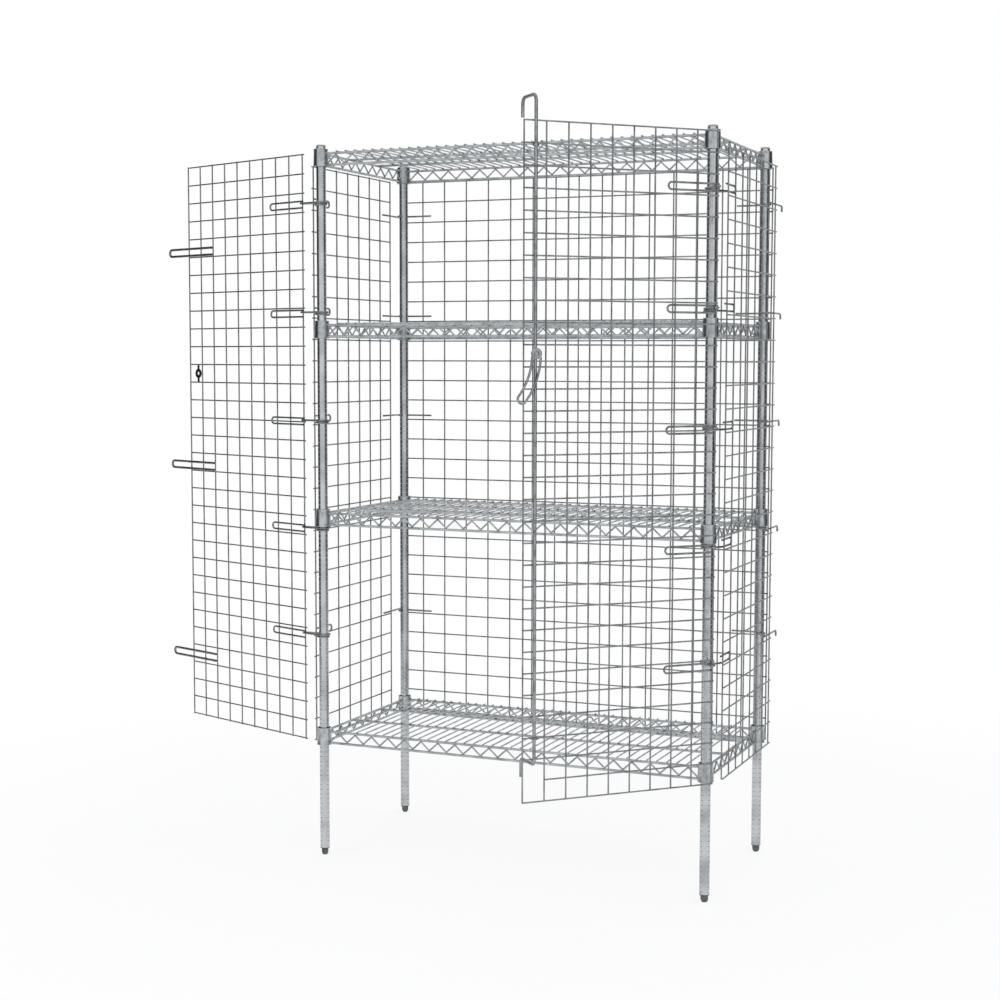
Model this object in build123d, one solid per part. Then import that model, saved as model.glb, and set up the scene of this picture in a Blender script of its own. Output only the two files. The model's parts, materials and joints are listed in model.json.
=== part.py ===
"""Wire security cage on four posts: four wire shelves, two side panels, a back
panel and a pair of mesh doors that hang on loose wire links. One sliding rod on
the right door hooks over the shelf edges and is held by a looped handle.

Millimetres, +Z up, origin on the floor midway between the four posts, front
towards -Y. The doors stand open, as when goods are put in."""

import os
from math import acos, atan2, cos, degrees, hypot, pi, radians, sin, tan

from build123d import *

os.makedirs("parts", exist_ok=True)

# Posts and shelves
post_span_x = 1055.0
post_span_y = 487.0
cage_height = 1880.0
post_dia = 25.4
post_wall = 1.4
groove_pitch = 12.7
lowest_collar = 299.5
lower_grooves = 46
upper_grooves = 85

# Shelf corner: a tapered collar driven down over a split sleeve
collar_height = 46.0
collar_foot_dia = 40.0
collar_head_dia = 37.2
collar_wall = 2.2
sleeve_height = 40.0
sleeve_sides = 6
sleeve_slot = 2.4
seat_gap = 0.2

# Shelf edge and deck
rim_dia = 6.0
rim_low = 5.0
rim_depth = 29.5
truss_dia = 4.0
truss_period = 68.0
deck_dia = 3.6
deck_margin = 46.5
deck_count = 38
runner_count = 2

# Feet and caps
foot_height = 20.0
foot_base_dia = 13.0
foot_hex = 17.5
foot_taper = 7.0
stud_dia = 9.5
stud_length = 38.0
insert_length = 20.0
insert_flange = 2.5
cap_height = 5.0
cap_crown = 2.5
cap_plug = 14.0
plug_gap = 0.15

# Mesh panels
mesh_dia = 3.4
side_columns = 7
side_margin = 19.5
back_columns = 16
back_overhang = 16.5
panel_rows = 27
panel_foot = 304.8
panel_top_drop = 52.4
side_offset = 34.0
back_offset = 20.0

# Doors
door_columns = 9
door_rows = 31
door_foot = 308.7
door_top_drop = 21.3
door_meeting_gap = 26.7
left_hinge_in = 27.6
left_hinge_out = 51.0
right_hinge_in = 10.7
right_hinge_out = 57.0
left_link_swing = 122.4
left_door_swing = 78.2
right_link_swing = 40.0
right_door_swing = 5.7

# Hooks and links, at five heights
hook_dia = 5.0
hook_levels = 5
hook_foot = 595.5
hook_top_drop = 148.5
hook_gap = 0.3
hairpin_width = 17.0
hairpin_length = 128.0
hairpin_tail = 6.0
side_hook_reach = 98.0
tail_start = 73.5
tail_reach = 66.5
tail_drop = 15.0
back_hook_inset = 78.7
link_post_gap = 0.75
link_door_gap = 0.9

# Loops on the free edge of the left door, and its lock lug
loop_dia = 6.0
loop_width = 19.0
loop_out = 84.0
loop_in = 110.0
loop_heights = (483.0, 1024.0, 1623.0)
lug_dia = 24.0
lug_hole = 10.0
lug_strap = 6.0
lug_thickness = 3.4
lug_row = 19

# Locking rod, its guides and its handle
rod_dia = 8.0
rod_inset = 25.0
rod_gap = 0.5
rod_reach = 75.5
rod_bend = 16.0
rod_foot_bend = 10.0
rod_travel = 40.0
rod_tip = 48.0
top_hook_rise = 62.0
foot_hook_cell = 2
foot_hook_gap = 6.0
guide_dia = 4.0
guide_side_gap = 1.2
guide_rows = (3, 13, 22, 29)
stop_dia = 15.0
stop_height = 5.5
handle_row = 20.6
handle_dia = 5.0
handle_width = 21.0
handle_length = 118.0
handle_hub_dia = 26.0
handle_hub_height = 5.0
handle_pin_dia = 6.0
handle_bore_gap = 0.1
handle_face_gap = 0.3
pin_head_dia = 11.0
pin_head_height = 2.5
handle_slant = 21.0

# Sides of a drawn wire's section, with a flat towards the panel's face, and of small turned parts
wire_sides = 4
rod_sides = 6
turned_sides = 12
small_sides = 8
bend_steps = 3
weld_gap = 0.1

top_grooves = (cage_height - cap_height - collar_height - lowest_collar) // groove_pitch
shelf_grooves = {"bottom": 0, "lower": lower_grooves, "upper": upper_grooves, "top": top_grooves}
collar_heights = {name: lowest_collar + count * groove_pitch for name, count in shelf_grooves.items()}
hook_rise = (cage_height - hook_top_drop - hook_foot) / (hook_levels - 1)
hook_heights = [hook_foot + level * hook_rise for level in range(hook_levels)]
half_x = post_span_x / 2
half_y = post_span_y / 2
post_radius = post_dia / 2
corners = {
    "front_left": (-half_x, -half_y),
    "front_right": (half_x, -half_y),
    "rear_left": (-half_x, half_y),
    "rear_right": (half_x, half_y),
}
deck_pitch = (post_span_x - 2 * deck_margin) / (deck_count - 1)
side_pitch = (post_span_y - 2 * side_margin) / side_columns
back_pitch = (post_span_x + 2 * back_overhang) / back_columns
panel_row_pitch = (cage_height - panel_top_drop - panel_foot) / panel_rows
door_width = (post_span_x - left_hinge_in - right_hinge_in - door_meeting_gap) / 2
door_pitch = door_width / door_columns
door_head = cage_height - door_top_drop
door_row_pitch = (door_head - door_foot) / door_rows


def save(name, *pieces):
    """Write one node, which may hold several separate solids."""
    solids = [solid for piece in pieces for solid in piece.solids()]
    export_step(Compound(children=solids), f"parts/{name}.step")


def section(dia, sides):
    """A few-sided wire section whose flats face the local X axis."""
    return RegularPolygon(dia / 2, sides, major_radius=False, rotation=180 / sides)


def wire(points, dia, flat, sides=wire_sides):
    """A wire with mitred bends through the points. Its flats face the flat direction."""
    path = Polyline(*points)
    start = Vector(*points[0])
    ahead = (Vector(*points[1]) - start).normalized()
    plane = Plane(origin=start, x_dir=flat, z_dir=ahead)
    return sweep(plane * section(dia, sides), path=path, transition=Transition.RIGHT)


def ring_wire(points, dia, flat, sides=wire_sides):
    """A closed wire loop, started in the middle of its longest side."""
    path = Polyline(*points, close=True)
    first, second = Vector(*points[0]), Vector(*points[1])
    plane = Plane(origin=(first + second) * 0.5, x_dir=flat, z_dir=(second - first).normalized())
    return sweep(plane * section(dia, sides), path=path, transition=Transition.RIGHT)


def arc_points(centre, radius, start, end, steps):
    """Points on an arc in the plane of two coordinates, angles in degrees."""
    angles = [radians(start + (end - start) * step / steps) for step in range(steps + 1)]
    return [(centre[0] + radius * cos(angle), centre[1] + radius * sin(angle)) for angle in angles]


on_end = (Align.CENTER, Align.CENTER, Align.MIN)


def placed(shapes, place):
    return [place * shape for shape in shapes]


# Posts, caps, inserts and levelling feet


def turned(radius, height, z=0.0, top_radius=None, sides=turned_sides):
    """A few-sided drum or cone about Z. The sides lie inside the stated radius."""
    ends = [Plane((0, 0, z)) * RegularPolygon(radius, sides)]
    ends.append(Plane((0, 0, z + height)) * RegularPolygon(top_radius or radius, sides))
    return loft(ends, ruled=True)


def turned_hole(radius, height, z=0.0, top_radius=None, sides=turned_sides):
    """The same drum or cone with its sides outside the radius, to be cut away."""
    grow = 1 / cos(pi / sides)
    return turned(radius * grow, height, z, (top_radius or radius) * grow, sides)


def post(x, y):
    length = cage_height - cap_height - foot_height
    bore = RegularPolygon(post_radius - post_wall, small_sides, major_radius=False)
    return extrude(Plane((x, y, foot_height)) * (Circle(post_radius) - bore), length)


def post_cap(x, y):
    """A plug: a crowned head on the tube's end and a stem inside it."""
    stem_radius = post_radius - post_wall - plug_gap
    rim = turned(post_radius, cap_height - cap_crown)
    crown = turned(post_radius, cap_crown, cap_height - cap_crown, post_radius - cap_crown)
    stem = turned(stem_radius, cap_plug, -cap_plug, sides=small_sides)
    return Pos(x, y, cage_height - cap_height) * (rim + crown + stem)


def foot_insert(x, y):
    """The threaded bush pressed into the post, with a flange under the tube's end."""
    bush_radius = post_radius - post_wall - plug_gap
    flange = turned(post_radius, insert_flange, -insert_flange)
    bush = turned(bush_radius, insert_length, sides=small_sides)
    bore = turned_hole(stud_dia / 2 + plug_gap, 3 * insert_length, -insert_length, sides=small_sides)
    return Pos(x, y, foot_height) * (flange + bush - bore)


def levelling_foot(x, y):
    """A hexagon foot that tapers to the floor, on a threaded stud."""
    hexagon = RegularPolygon(foot_hex / 2, 6, major_radius=False)
    neck = foot_height - insert_flange - seat_gap
    grip = extrude(Plane((0, 0, foot_taper)) * hexagon, neck - foot_taper)
    taper = loft(
        [RegularPolygon(foot_base_dia / 2, 6, major_radius=False), Plane((0, 0, foot_taper)) * hexagon],
        ruled=True,
    )
    stud = turned(stud_dia / 2, stud_length, neck, sides=small_sides)
    return Pos(x, y, 0) * (taper + grip + stud)


# Shelves


def collar_radius(height):
    """Outer radius of the collar, which narrows upwards."""
    foot, head = collar_foot_dia / 2, collar_head_dia / 2
    return foot + (head - foot) * height / collar_height


def collar():
    """A tapered collar, turned so that a flat faces each edge wire."""
    foot, head = collar_radius(0), collar_radius(collar_height)
    outside = turned_hole(foot, collar_height, 0, head)
    bore = turned_hole(foot - collar_wall, collar_height, 0, head - collar_wall, small_sides)
    turn_outside, turn_bore = Rot(0, 0, 180 / turned_sides), Rot(0, 0, 180 / small_sides)
    return turn_outside * outside - turn_bore * bore


def split_sleeve():
    """Two tapered halves that grip the post and wedge in the collar."""
    low = collar_radius(0) - collar_wall - seat_gap
    high = collar_radius(sleeve_height) - collar_wall - seat_gap
    outside = loft(
        [RegularPolygon(low, sleeve_sides), Plane((0, 0, sleeve_height)) * RegularPolygon(high, sleeve_sides)],
        ruled=True,
    )
    bore = extrude(RegularPolygon(post_radius + seat_gap, sleeve_sides, major_radius=False), sleeve_height)
    slot = Box(sleeve_slot, 3 * collar_foot_dia, 3 * sleeve_height)
    return outside - bore - slot


def truss_band(length):
    """A zigzag wire in one plane, along X, between the two wires of a shelf edge."""
    periods = round(length / truss_period)
    step = length / periods / 2
    space = rim_depth - rim_dia
    slope = (space - 2 * truss_dia) / step
    for _ in range(8):
        crest = truss_dia / 2 * hypot(1, slope)
        slope = (space - 2 * crest) / step
    swing = step * slope / 2
    count = 2 * periods + 1
    upper = [(i * step - length / 2, swing * (-1) ** (i + 1) + crest) for i in range(count)]
    lower = [(x, z - 2 * crest) for x, z in upper]
    outline = Polyline(*upper, *reversed(lower), close=True)
    return extrude(Plane.XZ * make_face(outline), truss_dia / 2, both=True)


def shelf(name, z):
    """Collars, sleeves, edge wires, zigzag trusses and deck of one shelf."""
    low = z + rim_low
    high = low + rim_depth
    save(f"shelf_{name}_collars", *[Pos(x, y, z) * collar() for x, y in corners.values()])
    save(f"shelf_{name}_sleeves", *[Pos(x, y, z + seat_gap) * split_sleeve() for x, y in corners.values()])

    edges = []
    for height in (low, high):
        reach = collar_radius(height - z) + weld_gap
        for side in (-1, 1):
            y, x = side * half_y, side * half_x
            edges.append(wire([(reach - half_x, y, height), (half_x - reach, y, height)], rim_dia, (0, 0, 1)))
            edges.append(wire([(x, reach - half_y, height), (x, half_y - reach, height)], rim_dia, (0, 0, 1)))
    side_edge = half_x - rim_dia / 2
    for runner in range(runner_count):
        y = post_span_y * ((runner + 1) / (runner_count + 1) - 0.5)
        edges.append(wire([(-side_edge, y, high), (side_edge, y, high)], rim_dia, (0, 0, 1)))
    save(f"shelf_{name}_edges", *edges)

    middle = (low + high) / 2
    long_band = truss_band(post_span_x - 2 * collar_radius(0) - 2 * weld_gap)
    short_band = Rot(0, 0, 90) * truss_band(post_span_y - 2 * collar_radius(0) - 2 * weld_gap)
    bands = [Pos(0, side * half_y, middle) * long_band for side in (-1, 1)]
    bands += [Pos(side * half_x, 0, middle) * short_band for side in (-1, 1)]
    save(f"shelf_{name}_trusses", *bands)

    deck_z = high + rim_dia / 2 + deck_dia / 2
    reach = half_y + rim_dia / 2
    deck = []
    for i in range(deck_count):
        x = (i - (deck_count - 1) / 2) * deck_pitch
        deck.append(wire([(x, -reach, deck_z), (x, reach, deck_z)], deck_dia, (0, 0, 1)))
    save(f"shelf_{name}_deck", *deck)


# Mesh panels and doors


def mesh(columns, pitch, rows, row_pitch, foot, row_side, round_edge=False, short_row=None):
    """Upright wires in the plane y = 0 from x = 0, and row wires on one side of them.
    A round edge is a hinge pin. The row numbered short_row stops one column early."""
    width, head, half = columns * pitch, foot + rows * row_pitch, mesh_dia / 2
    face = (0, 1, 0)
    wires = []
    for column in range(columns + 1):
        x = column * pitch
        wires.append(wire([(x, 0, foot - half), (x, 0, head + half)], mesh_dia, face))
    if round_edge:
        wires[0] = Pos(0, 0, foot - half) * Cylinder(half, head - foot + mesh_dia, align=on_end)
    for row in range(rows + 1):
        z = foot + row * row_pitch
        end = width - pitch if row == short_row else width
        y = row_side * mesh_dia
        wires.append(wire([(-half, y, z), (end + half, y, z)], mesh_dia, face))
    return wires


def hairpin(x_open, x_bend, y, z, width, dia, drop=0.0):
    """A flat U of wire in the plane of a panel: two level legs and a closed end.
    The lower leg is shorter by drop at its open end."""
    toward = 1 if x_bend > x_open else -1
    radius = width / 2
    bend = [(x_bend - toward * radius + toward * u, v) for u, v in arc_points((0, 0), radius, 90, -90, bend_steps)]
    points = [(x_open, y, z + radius)]
    points += [(u, y, z + v) for u, v in bend]
    points += [(x_open + toward * drop, y, z - radius)]
    return wire(points, dia, (0, 1, 0))


def hugging_radius(round_radius, gap, dia, step):
    """Radius for the corners of a mitred wire bent round a bar, clear of it by gap."""
    return (round_radius + gap + dia / 2) / cos(radians(step / 2))


def side_panel(side):
    """A side panel, its hooks round the front post and its tails past the rear post."""
    name = "left" if side < 0 else "right"
    plane_x = side * (half_x + side_offset)
    front = -side_columns * side_pitch / 2
    turn = Pos(plane_x, front, 0) * Rot(0, 0, 90)
    panel = mesh(side_columns, side_pitch, panel_rows, panel_row_pitch, panel_foot, -side)
    save(f"side_panel_{name}", *placed(panel, turn))

    inner = side_offset - mesh_dia / 2 - hook_dia / 2
    bend = hairpin_width / 2
    step = 45
    radius = hugging_radius(post_radius, link_post_gap, hook_dia, step)
    hooks, tails = [], []
    for level in hook_heights:
        low = level - hook_dia - hook_gap
        high = low + hairpin_width
        closed = arc_points((side_hook_reach - bend, low + bend), bend, 90, -90, bend_steps)
        wrap = arc_points((0, 0), radius, 0, -180, 4)
        points = [(inner, half_y + front - mesh_dia, high)]
        points += [(inner, y, z) for y, z in closed]
        points += [(inner, radius * 1.6, low)]
        points += [(x, y, low) for x, y in wrap]
        path = [(side * (half_x + x), y - half_y, z) for x, y, z in points]
        hooks.append(wire(path, hook_dia, (1, 0, 0)))
        x = side * (half_x + inner)
        tail = [
            (x, half_y - tail_start, level),
            (x, half_y + tail_reach, level),
            (x, half_y + tail_reach, level - tail_drop),
        ]
        tails.append(wire(tail, hook_dia, (1, 0, 0)))
    save(f"side_hooks_{name}", *hooks)
    save(f"side_tails_{name}", *tails)


def back_panel():
    """The back panel, and hooks on it that turn round both rear posts."""
    plane_y = half_y + back_offset
    left = -half_x - back_overhang
    panel = mesh(back_columns, back_pitch, panel_rows, panel_row_pitch, panel_foot, 1)
    save("back_panel", *placed(panel, Pos(left, plane_y, 0)))
    along = back_offset - mesh_dia / 2 - hook_dia / 2
    step = 45
    radius = hugging_radius(post_radius, link_post_gap, hook_dia, step)
    hooks = []
    for side in (-1, 1):
        for level in hook_heights:
            wrap = arc_points((0, 0), radius, 45, -90, 3)
            points = [(-back_hook_inset, along), (radius * tan(radians(step / 2)), along)] + wrap
            path = [(side * (half_x + x), half_y + y, level) for x, y in points]
            hooks.append(wire(path, hook_dia, (0, 0, 1)))
    save("back_hooks", *hooks)


def link(reach):
    """One wire link: a loop round the post at the origin and the door's edge wire."""
    big_step, small_step = 41, 53
    big = hugging_radius(post_radius, link_post_gap, hook_dia, big_step)
    small = hugging_radius(mesh_dia / 2, link_door_gap, hook_dia, small_step)
    lean = degrees(acos((big - small) / reach))
    points = arc_points((reach, 0), small, -lean, lean, 3) + arc_points((0, 0), big, lean, 360 - lean, 5)
    points = points[-1:] + points[:-1]
    return ring_wire([(x, y, 0) for x, y in points], hook_dia, (0, 0, 1))


def door(side):
    """One door with its hairpins and links, in the pose of the photographed cage.
    Local X runs from the hinge edge to the free edge; front is the outer side."""
    name, front = ("left", -1) if side < 0 else ("right", 1)
    hinge_in, hinge_out = (left_hinge_in, left_hinge_out) if side < 0 else (right_hinge_in, right_hinge_out)
    link_swing, door_swing = (
        (left_link_swing, left_door_swing) if side < 0 else (right_link_swing, right_door_swing)
    )
    reach = hypot(hinge_in, hinge_out)
    closed_link = degrees(atan2(-hinge_out, -side * hinge_in))
    link_angle = closed_link + side * link_swing
    door_angle = (180 if side > 0 else 0) + side * (link_swing + door_swing)
    post_x, post_y = side * half_x, -half_y
    hinge_x = post_x + reach * cos(radians(link_angle))
    hinge_y = post_y + reach * sin(radians(link_angle))
    place = Pos(hinge_x, hinge_y, 0) * Rot(0, 0, door_angle)
    print(f"{name} link axis ({post_x:.2f}, {post_y:.2f}), door axis ({hinge_x:.3f}, {hinge_y:.3f}),")
    print(f"{name} door angle {door_angle:.2f}, link angle {link_angle:.2f}, reach {reach:.3f}")

    short_row = foot_hook_cell - 1 if side > 0 else None
    panel = mesh(door_columns, door_pitch, door_rows, door_row_pitch, door_foot, front, True, short_row)
    save(f"door_{name}_mesh", *placed(panel, place))

    inner = -front * (mesh_dia / 2 + hook_dia / 2)
    raise_by = hook_dia + hook_gap - hairpin_width / 2
    pins = [
        hairpin(-hairpin_tail, hairpin_length, inner, level + raise_by, hairpin_width, hook_dia, hairpin_tail / 2)
        for level in hook_heights
    ]
    save(f"door_{name}_hairpins", *placed(pins, place))
    link_place = Pos(post_x, post_y, 0) * Rot(0, 0, link_angle)
    save(f"links_{name}", *[link_place * Pos(0, 0, level) * link(reach) for level in hook_heights])
    return place


def left_door_fittings(place):
    """Loops that reach behind the right door, and the lug that takes the padlock."""
    inner = mesh_dia / 2 + loop_dia / 2
    loops = [
        hairpin(door_width - loop_in, door_width + loop_out, inner, z, loop_width, loop_dia)
        for z in loop_heights
    ]
    save("door_left_loops", *placed(loops, place))

    row_face = 1.5 * mesh_dia
    z = door_foot + (lug_row + 0.5) * door_row_pitch
    x = door_width - door_pitch / 2
    outline = RegularPolygon(lug_dia / 2, turned_sides) + Rectangle(lug_strap, door_row_pitch + mesh_dia)
    hole = RegularPolygon(lug_hole / 2, small_sides, major_radius=False)
    flat = extrude(outline - hole, lug_thickness)
    lug = Pos(x, -row_face, z) * Rot(90, 0, 0) * flat
    save("lock_lug", place * lug)


# Locking rod


def rod_path(depth):
    """The rod's centre line, in the plane across the door: (inward, z) pairs."""
    foot_cell_top = door_foot + foot_hook_cell * door_row_pitch - mesh_dia / 2
    foot_run = foot_cell_top - foot_hook_gap - rod_dia / 2
    head_run = door_head + top_hook_rise - rod_dia / 2
    inside = depth - rod_reach
    points = [(inside, foot_run + rod_dia / 2 - rod_tip)]
    points += arc_points((inside + rod_foot_bend, foot_run - rod_foot_bend), rod_foot_bend, 180, 90, 2)
    points += arc_points((depth - rod_foot_bend, foot_run + rod_foot_bend), rod_foot_bend, -90, 0, 2)
    points += arc_points((depth - rod_bend, head_run - rod_bend), rod_bend, 0, 90, 3)
    points += arc_points((inside + rod_bend, head_run - rod_bend), rod_bend, 90, 180, 3)
    points += [(inside, head_run + rod_dia / 2 - rod_tip)]
    return points


def locking_rod(place):
    """The sliding rod with a hook at each end, its guides, stop, pin and handle."""
    row_face = 1.5 * mesh_dia
    depth = row_face + rod_gap + rod_dia / 2
    x = door_width - rod_inset
    path = [(x, y, z) for y, z in rod_path(depth)]
    save("locking_rod", place * wire(path, rod_dia, (0, 1, 0), rod_sides))

    across = rod_dia / 2 / cos(pi / rod_sides) + guide_side_gap + guide_dia / 2
    out = depth + rod_dia / 2 + rod_gap + guide_dia / 2
    guides = []
    for row in guide_rows:
        z = door_foot + row * door_row_pitch
        staple = [(x - across, row_face, z), (x - across, out, z), (x + across, out, z), (x + across, row_face, z)]
        guides.append(wire(staple, guide_dia, (0, 0, 1)))
    save("rod_guides", *placed(guides, place))

    stop_foot = door_foot + guide_rows[-1] * door_row_pitch + guide_dia / 2 + rod_travel + seat_gap
    ring = extrude(RegularPolygon(stop_dia / 2, turned_sides) - section(rod_dia, rod_sides), stop_height)
    stop = Pos(x, depth, stop_foot) * Rot(0, 0, 90) * ring
    save("rod_stop", place * stop)

    z = door_foot + handle_row * door_row_pitch
    face = depth + rod_dia / 2
    hub_face = face + handle_face_gap
    head_face = hub_face + handle_hub_height + handle_face_gap
    outward = Rot(-90, 0, 0)
    shank = Pos(x, face, z) * outward * Cylinder(handle_pin_dia / 2, head_face - face, align=on_end)
    head = Pos(x, head_face, z) * outward * turned(pin_head_dia / 2, pin_head_height, sides=small_sides)
    save("handle_pin", place * (shank + head))

    hub = Pos(0, hub_face, 0) * outward * turned(handle_hub_dia / 2, handle_hub_height)
    bore = Pos(0, hub_face, 0) * outward * Cylinder(
        handle_pin_dia / 2 + handle_bore_gap, 3 * handle_hub_height
    )
    middle = hub_face + handle_hub_height / 2
    loop = hairpin(0, handle_length, middle, 0, handle_width, handle_dia)
    loop = Rot(0, 90 - handle_slant, 0) * loop
    grip = Pos(x, 0, z) * (hub + loop - bore)
    save("lock_handle", place * grip)
    axis = place * Pos(x, 0, z)
    print(f"handle axis at {tuple(round(v, 3) for v in axis.position)}, door normal {axis.orientation}")


def frame():
    for name, (x, y) in corners.items():
        save(f"post_{name}", post(x, y))
        save(f"foot_{name}", levelling_foot(x, y))
    save("post_caps", *[post_cap(x, y) for x, y in corners.values()])
    save("foot_inserts", *[foot_insert(x, y) for x, y in corners.values()])
    for name, z in collar_heights.items():
        shelf(name, z)


frame()
side_panel(-1)
side_panel(1)
back_panel()
left_door_fittings(door(-1))
locking_rod(door(1))
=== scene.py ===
# %% [markdown]
# A lockable wire cage: four wire shelves on grooved tubular posts, welded mesh on
# three sides, and a pair of mesh doors that hang on loose wire rings.
# The construction comes ready made, at its real size, with its moving bodies.
# This file gives it the look of the real one: round drawn wire with its welds,
# rolled grooves, turned and bent parts, plated finishes, light and a camera.

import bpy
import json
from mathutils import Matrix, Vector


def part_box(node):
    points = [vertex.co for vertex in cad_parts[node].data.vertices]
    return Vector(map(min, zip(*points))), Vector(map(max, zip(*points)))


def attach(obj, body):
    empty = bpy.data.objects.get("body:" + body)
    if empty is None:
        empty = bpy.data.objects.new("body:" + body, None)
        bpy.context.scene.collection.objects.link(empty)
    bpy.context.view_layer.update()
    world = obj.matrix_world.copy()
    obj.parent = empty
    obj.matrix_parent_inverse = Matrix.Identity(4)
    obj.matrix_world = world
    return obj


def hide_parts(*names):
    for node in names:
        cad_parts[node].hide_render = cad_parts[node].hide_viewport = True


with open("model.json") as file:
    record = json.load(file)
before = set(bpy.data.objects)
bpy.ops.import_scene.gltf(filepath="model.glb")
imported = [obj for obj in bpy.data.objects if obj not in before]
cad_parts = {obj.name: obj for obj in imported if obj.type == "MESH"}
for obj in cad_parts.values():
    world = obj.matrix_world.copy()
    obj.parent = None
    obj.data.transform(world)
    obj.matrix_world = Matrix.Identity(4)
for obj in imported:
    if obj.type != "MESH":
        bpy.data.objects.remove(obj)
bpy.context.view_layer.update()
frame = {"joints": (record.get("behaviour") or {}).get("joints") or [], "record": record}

# %% [markdown]
# Everything is in metres. Real sizes are easier to read in millimetres, so each
# one is written with the factor mm. Where the construction already knows a place,
# such as a post's axis or a shelf's height, it is measured on the loaded nodes.

# %% Places taken from the construction
import json
from math import acos, atan2, cos, degrees, hypot, pi, radians, sin, sqrt

import bpy
from mathutils import Matrix, Vector

mm = 0.001


def middle(node):
    """The middle of a node's box."""
    low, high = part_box(node)
    return (Vector(low) + Vector(high)) / 2


rear_right = middle("post_rear_right")
half_x, half_y = rear_right.x, rear_right.y
post_corners = ("front_left", "front_right", "rear_left", "rear_right")
shelves = ("bottom", "lower", "upper", "top")
shelf_foot = {name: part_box(f"shelf_{name}_collars")[0][2] for name in shelves}
pivots = {}
for joint in frame["joints"]:
    pivots[joint["name"]] = Vector(joint.get("pos_m") or (0, 0, 0))
print(f"post axes at +-{half_x / mm:.1f}, +-{half_y / mm:.1f} mm")
print("shelves at", [round(z / mm, 1) for z in shelf_foot.values()])

# %% [markdown]
# A hinged door is easiest to draw lying along its own axis, from the hinge edge to
# the free edge. A matrix then turns it into place, about the axis of its joint.
# A wire ring between post and door gets its own matrix in the same way.

# %% How the doors and rings stand
left_door_turn = radians(-200.6)
right_door_turn = radians(225.7)


def stand(pivot, turn):
    """The matrix that turns about Z and moves to a pivot."""
    return Matrix.Translation(pivot) @ Matrix.Rotation(turn, 4, "Z")


def ring_turn(post, hinge):
    """The direction from a post's axis to a door's axis."""
    return atan2(hinge.y - post.y, hinge.x - post.x)


left_door = stand(pivots["left_door_swing"], left_door_turn)
right_door = stand(pivots["right_door_swing"], right_door_turn)
rings = {}
for side_name in ("left", "right"):
    post, hinge = pivots[f"{side_name}_link_swing"], pivots[f"{side_name}_door_swing"]
    rings[side_name] = stand(post, ring_turn(post, hinge))
ring_reach = hypot(*(pivots["left_door_swing"] - pivots["left_link_swing"]).xy)
print(f"rings reach {ring_reach / mm:.2f} mm from post to door")

# %% [markdown]
# Node trees are built by hand here, so one helper adds a node. It takes the
# node's inputs by name or number: a socket is linked, a node is linked by its
# first output and any other value is set. A mix of two colours takes them at its
# inputs 6 and 7, with the factor at 0, and gives the result at its output 2.

# %% One helper for every node
def add_node(tree, kind, inputs=None, **settings):
    """Add a node with its settings, then set or link its inputs."""
    node = tree.nodes.new(kind)
    for name, value in settings.items():
        setattr(node, name, value)
    for key, value in (inputs or {}).items():
        socket = node.inputs[key]
        if isinstance(value, bpy.types.Node):
            value = value.outputs[0]
        if isinstance(value, bpy.types.NodeSocket):
            tree.links.new(value, socket)
        else:
            socket.default_value = value
    return node


def linear(hex_colour):
    """An sRGB hex colour as linear red, green, blue and alpha."""
    channels = [int(hex_colour[i:i + 2], 16) / 255 for i in (1, 3, 5)]
    lit = [c / 12.92 if c <= 0.04045 else ((c + 0.055) / 1.055) ** 2.4 for c in channels]
    return (*lit, 1.0)


def new_material(name):
    """A material with its tree, its shader and the object coordinates for patterns."""
    material = bpy.data.materials.new(name)
    material.use_nodes = True
    tree = material.node_tree
    place = add_node(tree, "ShaderNodeTexCoord").outputs["Object"]
    return material, tree, tree.nodes["Principled BSDF"], place


print("middle grey in linear light:", [round(c, 3) for c in linear("#808080")])

# %% [markdown]
# The wire is bright drawn steel with a thin nickel and chrome or zinc plating. The
# eye sees a clean silver with soft reflections, slightly broken by long die lines
# and by small cloudy spots where the plating is thinner. Plating has no pigment of
# its own: metallic is 1, the colour is the metal's reflectance, and the roughness
# tells brighter chrome (about 0.22) from duller zinc (about 0.34). The eye for the
# padlock and the feet are blackened, so their metal is much darker. Real marks are
# finer than a picture can show, so they are drawn about a millimetre wide.

# %% Plated metal
def plated(name, bright, dull, roughness, cloud_mm, mark_mm, mark_depth_mm):
    """A plated metal with cloudy plating and a fine broken surface.
    cloud_mm is the size of the dull spots and mark_mm that of the surface marks."""
    material, tree, shader, place = new_material(name)
    shader.inputs["Metallic"].default_value = 1.0
    clouds = add_node(
        tree, "ShaderNodeTexNoise",
        {"Vector": place, "Scale": 1 / (cloud_mm * mm), "Detail": 4.0, "Roughness": 0.6},
    )
    spots = add_node(
        tree, "ShaderNodeMapRange", {"Value": clouds, "From Min": 0.42, "From Max": 0.68}
    )
    colour = add_node(
        tree, "ShaderNodeMix", {0: spots, 6: linear(bright), 7: linear(dull)}, data_type="RGBA"
    )
    marks = add_node(
        tree, "ShaderNodeTexNoise",
        {"Vector": place, "Scale": 1 / (mark_mm * mm), "Detail": 3.0, "Roughness": 0.7},
    )
    rough = add_node(
        tree, "ShaderNodeMapRange",
        {"Value": marks, "To Min": roughness * 0.75, "To Max": roughness * 1.35},
    )
    bump = add_node(
        tree, "ShaderNodeBump",
        {"Height": marks, "Distance": mark_depth_mm * mm, "Strength": 0.35},
    )
    tree.links.new(colour.outputs[2], shader.inputs["Base Color"])
    tree.links.new(rough.outputs[0], shader.inputs["Roughness"])
    tree.links.new(bump.outputs[0], shader.inputs["Normal"])
    return material


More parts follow.
